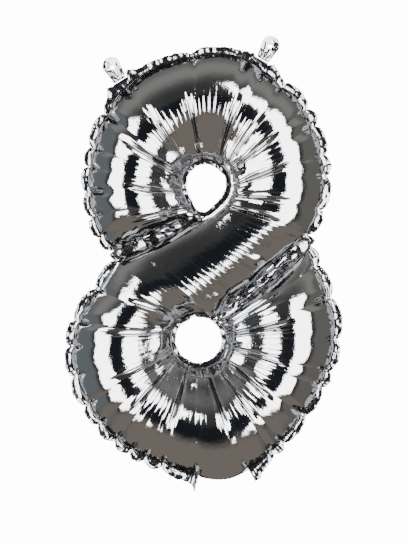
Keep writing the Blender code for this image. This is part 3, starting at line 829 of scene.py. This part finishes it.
def wrinkled_panel(side, seed):
    """Points of a panel with all its wrinkles, side -1 for the front and 1 for the rear."""
    points, u = inflated_grid(side)
    normals = surface_normals(points, side)
    inside = np.sin(math.pi * np.clip(u, 0, 1)) ** 0.5
    heights = fine_ridges(u, seed) + deep_folds(u, seed + 20) + outer_puckers(u, seed + 40)
    heights = heights + end_gathers(len(u), seed + 60) + soft_dents(u, seed + 80) * inside[None, :]
    heights = heights + eye_crinkle(u, seed + 106)
    heights = heights * np.clip(tube_depths / FULL_WRINKLES_DEPTH, 0.0, 1.0)[:, None]
    heights[:, [0, -1]] = 0.0
    points = points + normals * heights[..., None]
    points[..., 1] = side * np.maximum(side * points[..., 1], LEAST_DEPTH)
    return points


def place_in_world(points):
    """From millimetres round the waist to metres in the frame."""
    return (points + [WAIST[0], 0.0, WAIST[1]]) * MM


def from_waist(places):
    """From metres in the frame to millimetres round the waist."""
    return places / MM - [WAIST[0], 0.0, WAIST[1]]


def film_object(name, points):
    """A grid primitive whose points are laid on the given shape."""
    rows, columns = points.shape[:2]
    bpy.ops.object.select_all(action="DESELECT")
    bpy.ops.mesh.primitive_grid_add(x_subdivisions=columns - 1, y_subdivisions=rows - 1, size=1.0)
    made = bpy.context.object
    made.name = name
    made.data.name = name
    made.data.vertices.foreach_set("co", place_in_world(points).reshape(-1).astype(np.float32))
    made.data.update()
    made.data.shade_smooth()
    return made


def face_outwards(made, towards):
    """Turn a film over if its faces point away from where they should."""
    normals = np.empty(len(made.data.polygons) * 3, dtype=np.float32)
    made.data.polygons.foreach_get("normal", normals)
    areas = np.empty(len(made.data.polygons), dtype=np.float32)
    made.data.polygons.foreach_get("area", areas)
    if (normals.reshape(-1, 3) * areas[:, None]).sum(axis=0) @ np.array(towards) < 0:
        made.data.flip_normals()


def give_film_thickness(made, thickness=0.2):
    """Make a film a closed shell, with a thickness in millimetres."""
    shell = made.modifiers.new("film thickness", "SOLIDIFY")
    shell.thickness = thickness * MM
    shell.offset = -1.0
    bpy.context.view_layer.objects.active = made
    bpy.ops.object.modifier_apply(modifier=shell.name)


panels = {}
for name, node, side, seed in (("front_foil", "front_panel", -1, 11),
                               ("rear_foil", "rear_panel", 1, 512)):
    panel = film_object(name, wrinkled_panel(side, seed))
    face_outwards(panel, (0.0, side, 0.0))
    give_film_thickness(panel)
    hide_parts(node)
    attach(panel, "envelope")
    panels[name] = panel
    print(name, len(panel.data.polygons) * 2, "triangles")

# %% [markdown]
# ## The foil's finish
# Metallised film is a mirror with a little haze. Under strong light it shows a very fine
# orange-peel and faint scratches from packing, so a small bump and a slightly uneven
# roughness keep it from looking like polished steel.

# %% Foil material
def new_finish(name, colour, roughness, metallic=1.0):
    """A new material, its nodes, its shader and the places that its patterns follow."""
    made = bpy.data.materials.new(name)
    made.use_nodes = True
    shader = made.node_tree.nodes["Principled BSDF"]
    shader.inputs["Base Color"].default_value = (*colour, 1.0)
    shader.inputs["Roughness"].default_value = roughness
    shader.inputs["Metallic"].default_value = metallic
    place = made.node_tree.nodes.new("ShaderNodeTexCoord").outputs["Object"]
    return made, made.node_tree, shader, place


def noise_at(tree, coordinates, scale, detail=2.0):
    """Smooth noise at a scale, with finer noise in it for each step of detail."""
    noise = tree.nodes.new("ShaderNodeTexNoise")
    noise.inputs["Scale"].default_value = scale
    noise.inputs["Detail"].default_value = detail
    tree.links.new(coordinates, noise.inputs["Vector"])
    return noise.outputs["Fac"]


def bump_on(tree, height, distance, strength, under=None):
    """A bump of a height in metres, on top of another bump where one is given."""
    bump = tree.nodes.new("ShaderNodeBump")
    bump.inputs["Distance"].default_value = distance
    bump.inputs["Strength"].default_value = strength
    tree.links.new(height, bump.inputs["Height"])
    if under is not None:
        tree.links.new(under, bump.inputs["Normal"])
    return bump.outputs["Normal"]


def spread(tree, value, low, high):
    """Spread the middle of a noise over low to high."""
    step = tree.nodes.new("ShaderNodeMapRange")
    step.inputs["From Min"].default_value = 0.3
    step.inputs["From Max"].default_value = 0.7
    step.inputs["To Min"].default_value = low
    step.inputs["To Max"].default_value = high
    tree.links.new(value, step.inputs["Value"])
    return step.outputs["Result"]


mirror_foil, tree, shader, place = new_finish("mirror_foil", (0.90, 0.905, 0.92), 0.06)
tree.links.new(spread(tree, noise_at(tree, place, 60.0), 0.035, 0.085), shader.inputs["Roughness"])
peel = bump_on(tree, noise_at(tree, place, 260.0), 0.0004, 0.35)
crinkle = bump_on(tree, noise_at(tree, place, 1100.0, 3.0), 0.0001, 0.30, under=peel)
tree.links.new(crinkle, shader.inputs["Normal"])
for panel in panels.values():
    panel.data.materials.append(mirror_foil)
print("mirror foil has", len(tree.nodes), "nodes")

# %% [markdown]
# ## The outer hem
# Outside the weld line the two sheets are sealed flat to each other. The seal shrinks a
# little, so the hem curls into a row of scallops, one between each two pinches, and its
# surface is knurled by the sealing bar. It is one long film, bent round the outline.

# %% Places on the outline
joints = {joint["name"]: joint for joint in frame["joints"]}


def crease_frame(joint_name):
    """Root, crease direction and standing direction of a tab, from its joint."""
    joint = joints[joint_name]
    crease = np.array(joint["axis"])
    standing = np.array([-crease[2], 0.0, crease[0]])
    return np.array(joint["pos_m"]), crease, standing


def waist_place(joint_name):
    """Where a joint's crease is in the plane of the welds, in mm from the waist's centre."""
    place = np.array(joints[joint_name]["pos_m"]) / MM
    return np.array([place[0], place[2]]) - WAIST


def whole_outline():
    """Outline of the 8 from the left waist, clockwise, and the distance of each pinch."""
    top, bottom = upper_outline(), lower_outline()[::-1]
    top_run, bottom_run = travelled(top), travelled(bottom)
    distances = [s * top_run[-1] for s in UPPER_PINCHES]
    offset = top_run[-1] + np.linalg.norm(bottom[0] - top[-1])
    distances += [offset + (1 - s) * bottom_run[-1] for s in LOWER_PINCHES]
    return np.vstack([top, bottom]), np.array(sorted(distances))


def outward(line, reach):
    """Directions square to a closed line, each measured over reach points to both sides."""
    before, after = np.roll(line, reach, axis=0), np.roll(line, -reach, axis=0)
    run = after - before
    normals = np.column_stack([-run[:, 1], run[:, 0]])
    return normals / np.linalg.norm(normals, axis=1)[:, None]


print(len(whole_outline()[1]), "pinch places round the whole outline")

# %% [markdown]
# ## Petals
# Between two pinches the hem is one petal, with its own size and its own lean to the front
# or back. Beside a hang tab it widens into the tab's fan, lies calmer, and stops at the
# line where the tab folds, so that the tab can turn without touching it.

# %% Petal widths
HEM_WIDTH, HEM_NECKED_WIDTH = 7.2, 3.6
PETAL_LEAN = 0.11
TAB_ROOT_HALF = 5.5
TAB_FAN, TAB_FAN_PLACE, TAB_FAN_SPREAD = 4.5, 9.5, 5.0
TAB_QUIET = 15.0
TAB_GAP = 0.35


def petal_widths(line, normals, run, pinches, total, seed):
    """Width and lean of the petals, the distance to the nearest pinch, and how far each
    point is at a tab and beside one."""
    rng = np.random.default_rng(seed)
    before = np.searchsorted(pinches, run, side="right") - 1
    low = pinches[before]
    high = np.append(pinches, total)[before + 1]
    share = np.clip((run - low) / np.maximum(high - low, 1e-6), 0, 1)
    lobe = np.sin(math.pi * share) ** 0.42
    lean = rng.uniform(-PETAL_LEAN, PETAL_LEAN, len(pinches))[before]
    size = rng.uniform(0.78, 1.1, len(pinches))[before]
    width = HEM_NECKED_WIDTH + (HEM_WIDTH - HEM_NECKED_WIDTH) * lobe * size
    nearest = np.min(np.abs(run[:, None] - pinches[None, :]), axis=1)
    at_tab, beside_tab = np.zeros(len(run)), np.zeros(len(run))
    for name in ("left_tab_fold", "right_tab_fold"):
        standing = crease_frame(name)[2][[0, 2]]
        away = waist_place(name) - line
        centre = run[int(np.argmin(np.linalg.norm(away, axis=1)))]
        off = np.abs(run - centre)
        width = width + TAB_FAN * np.exp(-(((off - TAB_FAN_PLACE) / TAB_FAN_SPREAD) ** 2))
        to_crease = (away @ standing - TAB_GAP) / np.maximum(normals @ standing, 0.3)
        meet = 1 - smooth_step(TAB_ROOT_HALF, TAB_ROOT_HALF + 1.8, off)
        width = width * (1 - meet) + to_crease * meet
        at_tab = np.maximum(at_tab, meet)
        beside = 1 - smooth_step(0.6 * TAB_QUIET, TAB_QUIET, off)
        beside_tab = np.maximum(beside_tab, beside)
    lean = lean * lobe * (1 - beside_tab)
    return width, lean, nearest, at_tab, beside_tab


print("petals", HEM_NECKED_WIDTH, "to", HEM_WIDTH, "mm wide")

# %% [markdown]
# ## Build the hem
# The hem's inner edge is tucked a little under the weld, so that no gap shows there. Its
# surface is crumpled into facets and gathered at each pinch. It is left open where the fill
# neck goes through it, with a longer corner on each side.

# %% Build the hem
HEM_STEPS, HEM_ROWS = 1700, 11
HEM_TUCK = 0.04
HEM_CORNER, HEM_CORNER_SPREAD = 9.0, 7.0
HEM_CRUMPLE, HEM_GRAIN, HEM_CUP, HEM_GATHER = 0.50, 0.05, 0.35, 0.20
HEM_FILM = 0.35
NECK_GAP = 0.6


def hem_points(seed):
    """Points of the hem, from one side of the fill neck round to the other."""
    line, pinches = whole_outline()
    closed = np.vstack([line, line[:1]])
    total = travelled(closed)[-1]
    line = along(closed, np.linspace(0, 1, HEM_STEPS, endpoint=False))
    run = np.linspace(0, total, HEM_STEPS, endpoint=False)
    normals = outward(line, 9)
    normals = normals + sum(np.roll(normals, k, axis=0) for k in (-7, -4, 4, 7))
    normals /= np.linalg.norm(normals, axis=1)[:, None]
    width, lean, nearest, at_tab, beside_tab = petal_widths(line, normals, run, pinches, total, seed)
    pull = SEAM_PULL * np.exp(-nearest / SEAM_PULL_LENGTH)
    from_neck = np.linalg.norm(line - waist_place("neck_fold"), axis=1)
    neck_low, neck_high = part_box("fill_neck_rear_ply")
    neck_half = (neck_high[0] - neck_low[0]) / MM / 2
    corner = np.exp(-(((from_neck - neck_half) / HEM_CORNER_SPREAD) ** 2))
    width = width + HEM_CORNER * corner
    out = np.linspace(-HEM_TUCK, 1.0, HEM_ROWS)
    ragged = 1 + 0.07 * drifting(run, 2.6, seed + 3) + 0.05 * drifting(run, 1.3, seed + 4)
    ragged = ragged * (1 - at_tab) + at_tab
    tied = at_tab[:, None] * np.clip(out, 0, 1)[None, :]
    reach = out[None, :] * (width * ragged)[:, None] - pull[:, None] * (1 - tied)
    flat = line[:, None, :] + normals[:, None, :] * reach[..., None]
    grid_run, grid_out = np.meshgrid(run, out * 7.0, indexing="ij")
    crumple = HEM_CRUMPLE * creased(drifting_over(grid_run, grid_out, 5.4, 4.4, seed + 1))
    crumple = crumple + HEM_GRAIN * creased(drifting_over(grid_run, grid_out, 2.4, 2.2, seed + 2))
    cup = HEM_CUP * np.sin(math.pi * np.clip(out, 0, 1))[None, :]
    cup = cup * drifting(run, 15.0, seed + 5)[:, None]
    gather = HEM_GATHER * np.exp(-nearest / 3.0)[:, None] * pleat(run[:, None] * 2.2)
    rise = smooth_step(0.08, 0.50, out)[None, :]
    calm = beside_tab[:, None] * smooth_step(0.3, 0.8, out)[None, :]
    rise = rise * (1 - 0.9 * tied) * (1 - 0.75 * calm)
    depth = lean[:, None] * out[None, :] * width[:, None] + rise * (crumple + cup + gather)
    points = with_depth(flat, depth)
    first = int(np.argmin(from_neck))
    order = (np.arange(HEM_STEPS) + first) % HEM_STEPS
    order = order[from_neck[order] > neck_half + NECK_GAP]
    return points[order]


hem = film_object("outer_hem_foil", hem_points(77))
face_outwards(hem, (0.0, -1.0, 0.0))
give_film_thickness(hem, HEM_FILM)
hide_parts("outer_weld_hem")
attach(hem, "envelope")
print("hem", len(hem.data.polygons) * 2, "triangles")

# %% [markdown]
# ## Welded foil
# Where the two films are sealed, the bar that sealed them has left a fine grain. The same
# metal shows through it, only a little duller, so the light breaks up into small sparks.

# %% Welded foil material
welded_foil, tree, shader, place = new_finish("welded_foil", (0.66, 0.665, 0.68), 0.10)
cells = tree.nodes.new("ShaderNodeTexVoronoi")
cells.inputs["Scale"].default_value = 520.0
tree.links.new(place, cells.inputs["Vector"])
knurl = bump_on(tree, cells.outputs["Distance"], 0.0002, 0.30)
grain = bump_on(tree, noise_at(tree, place, 1300.0), 0.0001, 0.25, under=knurl)
tree.links.new(grain, shader.inputs["Normal"])
tree.links.new(spread(tree, noise_at(tree, place, 300.0), 0.07, 0.16), shader.inputs["Roughness"])
hem.data.materials.append(welded_foil)
print("welded foil has", len(tree.nodes), "nodes")

# %% [markdown]
# ## The welds round the eyes
# Inside each eye the trimmed edge of the weld is left as a narrow ring. It is dark, because it
# faces the dark front of the room, and its trimmed edge is ragged.

# %% Eye welds
EYE_WELD_WIDTH = 3.6
EYE_WELD_STEPS, EYE_WELD_ROWS = 260, 7
EYE_WELD_TUCK = 0.12
EYE_WELD_FILM = 0.3


def close_ring(made):
    """Weld the first and last row of a film to each other."""
    bpy.context.view_layer.objects.active = made
    bpy.ops.object.mode_set(mode="EDIT")
    bpy.ops.mesh.select_all(action="SELECT")
    bpy.ops.mesh.remove_doubles(threshold=1e-6)
    bpy.ops.object.mode_set(mode="OBJECT")


def closed_noise(values):
    """Blend the end of a noise line into its start, so that a ring has no step."""
    share = np.linspace(0, 1, len(values)) ** 6
    return values * (1 - share) + values[0] * share


def eye_weld_points(eye, seed):
    """Points of a ring inside an eye, from just under the weld line to its trimmed edge."""
    angles = np.linspace(0, 360, EYE_WELD_STEPS)
    run = np.radians(angles) * eye[1]
    width = EYE_WELD_WIDTH + 0.5 * drifting(run, 5.0, seed) + 0.35 * drifting(run, 1.8, seed + 1)
    width = closed_noise(width)
    lean = closed_noise(0.7 * drifting(run, 9.0, seed + 2) + 0.35 * drifting(run, 3.4, seed + 3))
    rows = []
    for share in np.linspace(-EYE_WELD_TUCK, 1.0, EYE_WELD_ROWS):
        ring = np.array([eye_line(eye, [angle], inset)[0]
                         for angle, inset in zip(angles, share * width)])
        depth = lean * max(share, 0.0) ** 0.8
        depth = depth + closed_noise(0.10 * drifting(run, 3.0, seed + 4 + int(share * 10)))
        rows.append(with_depth(ring, depth))
    return np.stack(rows, axis=1)


for name, node, eye, seed in (("upper_eye_weld_foil", "upper_eye_weld", UPPER_EYE, 301),
                              ("lower_eye_weld_foil", "lower_eye_weld", LOWER_EYE, 351)):
    ring = film_object(name, eye_weld_points(eye, seed))
    close_ring(ring)
    face_outwards(ring, (0.0, -1.0, 0.0))
    give_film_thickness(ring, EYE_WELD_FILM)
    ring.data.materials.append(welded_foil)
    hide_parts(node)
    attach(ring, "envelope")
    print(name, len(ring.data.polygons), "faces")

# %% [markdown]
# ## The welds at the waist
# Two short welds divide the chamber's closed ends from the diagonal tube. The air pushes the
# tubes together over them, and the film between is crushed into a crumpled roll.

# %% Waist welds
ROLL_STEPS = 150
ROLL_SIDES = 26
ROLL_OVERRUN = 2.5
ROLL_FLARE = 0.55
ROLL_HALF_WIDTH, ROLL_HALF_DEPTH = 4.0, 3.6


def crumpled_roll(start, end, seed):
    """Film crushed into lens-shaped petals between two points, closed at both ends."""
    unit = (end - start) / np.linalg.norm(end - start)
    square = np.array([-unit[1], unit[0]])
    start = start - unit * ROLL_OVERRUN
    share = (1 - np.cos(math.pi * np.linspace(0, 1, ROLL_STEPS))) / 2
    run = np.linalg.norm(end - start) * share
    wander = 0.9 * drifting(run, 12.0, seed + 7) * np.sin(math.pi * share)
    centre = start + (end - start) * share[:, None] + square * wander[:, None]
    closed = np.clip(1 - (2 * share - 1) ** 2, 0, 1) ** 0.5
    closed = np.minimum(closed * 2.4, 1.0)
    lobes = np.abs(np.sin(math.pi * (2.4 * share + 0.15)))
    petals = 0.86 + 0.22 * lobes
    petals = petals + ROLL_FLARE * (1 - share) ** 2 + 0.07 * drifting(run, 5.0, seed + 5)
    rise = 0.62 + 0.38 * lobes
    turn = np.linspace(0, 2 * math.pi, ROLL_SIDES + 1)
    grid_run, grid_turn = np.meshgrid(run, turn * 4.0, indexing="ij")
    grid_turn = grid_turn + 0.35 * grid_run
    long_folds = creased(drifting_over(grid_run, grid_turn, 12.0, 2.8, seed + 1))
    facets = drifting_over(grid_run, grid_turn, 5.5, 3.6, seed + 2)
    crumple = 0.24 * long_folds + 0.20 * facets * (1 - 0.5 * share[:, None])
    crumple[:, -1] = crumple[:, 0]
    reach = 1 + crumple
    across = ROLL_HALF_WIDTH * (petals * closed)[:, None] * np.cos(turn) * np.maximum(reach, 0.86)
    depth = ROLL_HALF_DEPTH * (rise * closed)[:, None] * np.sin(turn) * reach
    flat = centre[:, None, :] + square[None, None, :] * across[..., None]
    return with_depth(flat, depth)


def waist_ends(upper_line_end, lower_line_end, eye):
    """A waist weld runs from the notch in the outline to the tip of an eye."""
    return (upper_line_end + lower_line_end) / 2, eye_line(eye, [eye[2]])[0]


left_waist = waist_ends(upper_outline()[0], lower_outline()[0], UPPER_EYE)
right_waist = waist_ends(upper_outline()[-1], lower_outline()[-1], LOWER_EYE)
for name, node, ends, seed in (("left_waist_weld_foil", "left_waist_weld", left_waist, 401),
                               ("right_waist_weld_foil", "right_waist_weld", right_waist, 431)):
    roll = film_object(name, crumpled_roll(*ends, seed))
    close_ring(roll)
    bpy.ops.object.mode_set(mode="EDIT")
    bpy.ops.mesh.normals_make_consistent(inside=False)
    bpy.ops.object.mode_set(mode="OBJECT")
    roll.data.materials.append(welded_foil)
    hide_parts(node)
    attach(roll, "envelope")
    print(name, "over", round(float(np.linalg.norm(ends[1] - ends[0]))), "mm")

# %% [markdown]
# ## The hang tabs
# Two rounded tabs stand up from the top hem, each with a punched hole for a ribbon. Each folds
# on its root, where it is gathered into a fan. A tab starts as a grid wound round its hole.

# %% Hang tabs
TAB_HEAD_RADIUS, TAB_HEAD_HEIGHT = 7.5, 14.0
TAB_HOLE_RADIUS, TAB_HOLE_HEIGHT = 1.8, 12.5
TAB_CLEARANCE = 0.15
TAB_FILM = 0.2
TAB_FOLDS = 11.0


def tab_reach(angles):
    """Distance from the hole's centre to the tab's edge at each angle."""
    turn = np.radians(np.linspace(-20, 200, 60))
    head = np.column_stack([np.cos(turn), np.sin(turn)]) * TAB_HEAD_RADIUS
    head = head + [0.0, TAB_HEAD_HEIGHT]
    corners = [(-TAB_ROOT_HALF, TAB_CLEARANCE), (TAB_ROOT_HALF, TAB_CLEARANCE)]
    edge = along(np.vstack([head, corners, head[:1]]), np.linspace(0, 1, 600))
    away = edge - [0.0, TAB_HOLE_HEIGHT]
    facing = np.unwrap(np.arctan2(away[:, 1], away[:, 0]))
    return np.interp(angles, facing, np.linalg.norm(away, axis=1), period=2 * math.pi)


def tab_points(joint_name, seed, lean):
    """Points of a tab as rings round its hole, with the fan of folds at its root."""
    root, crease, standing = crease_frame(joint_name)
    angles = np.linspace(0, 2 * math.pi, 97)
    reach = tab_reach(angles)
    out = np.linspace(0, 1, 15)[None, :]
    radius = TAB_HOLE_RADIUS + (reach[:, None] - TAB_HOLE_RADIUS) * out
    sideways = radius * np.cos(angles)[:, None]
    height = TAB_HOLE_HEIGHT + radius * np.sin(angles)[:, None]
    fan = np.arctan2(sideways, height + 5.0)
    low = np.clip(1 - height / 15.0, 0, 1)
    folds = low**0.8 * creased(np.sin(TAB_FOLDS * fan + 0.6 * lean))
    rim = 0.5 * drifting_over(sideways + height * 0.3, height, 4.0, 5.0, seed)
    crinkle = 0.18 * drifting_over(sideways, height, 1.8, 1.8, seed + 1)
    bow = (lean * sideways * 0.22 + 0.02 * sideways**2) * smooth_step(2.0, 9.0, height)
    at_root = smooth_step(0.0, 3.0, height)
    depth = at_root * (bow + rim + crinkle) + folds * smooth_step(0.8, 5.0, height)
    depth[-1] = depth[0]
    places = root + MM * (sideways[..., None] * crease + height[..., None] * standing)
    places[..., 1] -= MM * depth
    return from_waist(places)


for name, node, body, joint_name, seed, lean in (
        ("left_tab_foil", "left_hang_tab", "left_tab", "left_tab_fold", 501, 1.0),
        ("right_tab_foil", "right_hang_tab", "right_tab", "right_tab_fold", 521, -0.9)):
    tab = film_object(name, tab_points(joint_name, seed, lean))
    close_ring(tab)
    face_outwards(tab, (0.0, -1.0, 0.0))
    give_film_thickness(tab, TAB_FILM)
    tab.data.materials.append(welded_foil)
    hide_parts(node)
    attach(tab, body)
    print(name, len(tab.data.polygons), "faces")

# %% [markdown]
# ## The fill neck
# Air went in through a flat neck at the bottom. After filling it is creased along its root and
# folded back behind the foot, nearly level, so it shows only from behind and from the side.
# Its two plies lie together, and near the crease they follow the foot's outline.

# %% Fill neck
NECK_ROOT_HALF, NECK_MOUTH_HALF, NECK_LENGTH = 21.0, 15.0, 33.0
PLY_HALF_GAP = 0.5
PLY_FILM = 0.2
neck_mount = next(m for m in frame["record"]["mounts"] if m["name"] == "neck_face")


def foot_rise(sideways):
    """Height of the balloon's foot above the crease, at places across the neck."""
    root = waist_place("neck_fold")
    axis = np.array(joints["neck_fold"]["axis"])[[0, 2]]
    axis = axis * np.sign(axis[0])
    away = lower_outline() - root
    beside = away @ axis
    rise = away @ np.array([-axis[1], axis[0]])
    near = (np.abs(beside) < NECK_ROOT_HALF + 4) & (rise < NECK_ROOT_HALF)
    order = np.argsort(beside[near])
    return np.interp(sideways, beside[near][order], rise[near][order])


def neck_ply_points(side, seed):
    """One ply: side 1 is towards the balloon, side -1 is away from it."""
    across = -np.array(joints["neck_fold"]["axis"])
    outer = np.array(neck_mount["axis"])
    forward = np.cross(across, outer)
    length = np.linspace(0.1, NECK_LENGTH, 44)
    share = length / NECK_LENGTH
    half = NECK_ROOT_HALF + (NECK_MOUTH_HALF - NECK_ROOT_HALF) * share
    half = half - 3.0 * smooth_step(0.90, 1.0, share) ** 2
    s = np.linspace(-1, 1, 55)
    grid_across = half[:, None] * s[None, :]
    grid_length = np.repeat(length[:, None], len(s), axis=1)
    waves = 0.55 * drifting_over(grid_across, grid_length, 7.0, 12.0, seed)
    waves = waves + 0.22 * drifting_over(grid_across, grid_length, 2.6, 5.0, seed + 1)
    puff = 0.9 * np.sin(math.pi * share)[:, None] * (1 - s[None, :] ** 2)
    away = PLY_HALF_GAP + puff * 0.4 + 0.25 * (1 + waves)
    from_root = smooth_step(0.0, 0.12, share)[:, None]
    away = away * from_root + 0.35 * (1 - from_root)
    lifted = np.maximum(foot_rise(-grid_across), 0.0) * (1 - 0.4 * share[:, None])
    away = side * away + lifted
    places = np.array(joints["neck_fold"]["pos_m"]) + MM * (
        grid_across[..., None] * across + grid_length[..., None] * forward
        - away[..., None] * outer)
    return from_waist(places)


for name, node, side, seed in (("neck_rear_ply_foil", "fill_neck_rear_ply", 1, 601),
                               ("neck_front_ply_foil", "fill_neck_front_ply", -1, 611)):
    ply = film_object(name, neck_ply_points(side, seed))
    face_outwards(ply, -side * np.array(neck_mount["axis"]))
    give_film_thickness(ply, PLY_FILM)
    ply.data.materials.append(mirror_foil)
    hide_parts(node)
    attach(ply, "fill_neck")
    print(name, len(ply.data.polygons), "faces")

# %% [markdown]
# ## The valve films
# Two clear films sealed in above the neck cling together and close it. Their shape is right in
# the frame, so they stay, and only get a slightly cloudy plastic.

# %% Valve films
CLOUDY_CLEAR = (0.92, 0.93, 0.93)
valve_plastic, tree, shader, place = new_finish("clear_valve_film", CLOUDY_CLEAR, 0.18, metallic=0.0)
shader.inputs["Transmission Weight"].default_value = 0.75
shader.inputs["IOR"].default_value = 1.5
tree.links.new(spread(tree, noise_at(tree, place, 120.0), 0.12, 0.30), shader.inputs["Roughness"])
tree.links.new(bump_on(tree, noise_at(tree, place, 400.0), 0.0002, 0.3), shader.inputs["Normal"])
for node_name in ("valve_film_front", "valve_film_rear"):
    film = frame["nodes"][node_name]
    for slot in film.material_slots:
        slot.material = valve_plastic
    print(node_name, "keeps its shape")
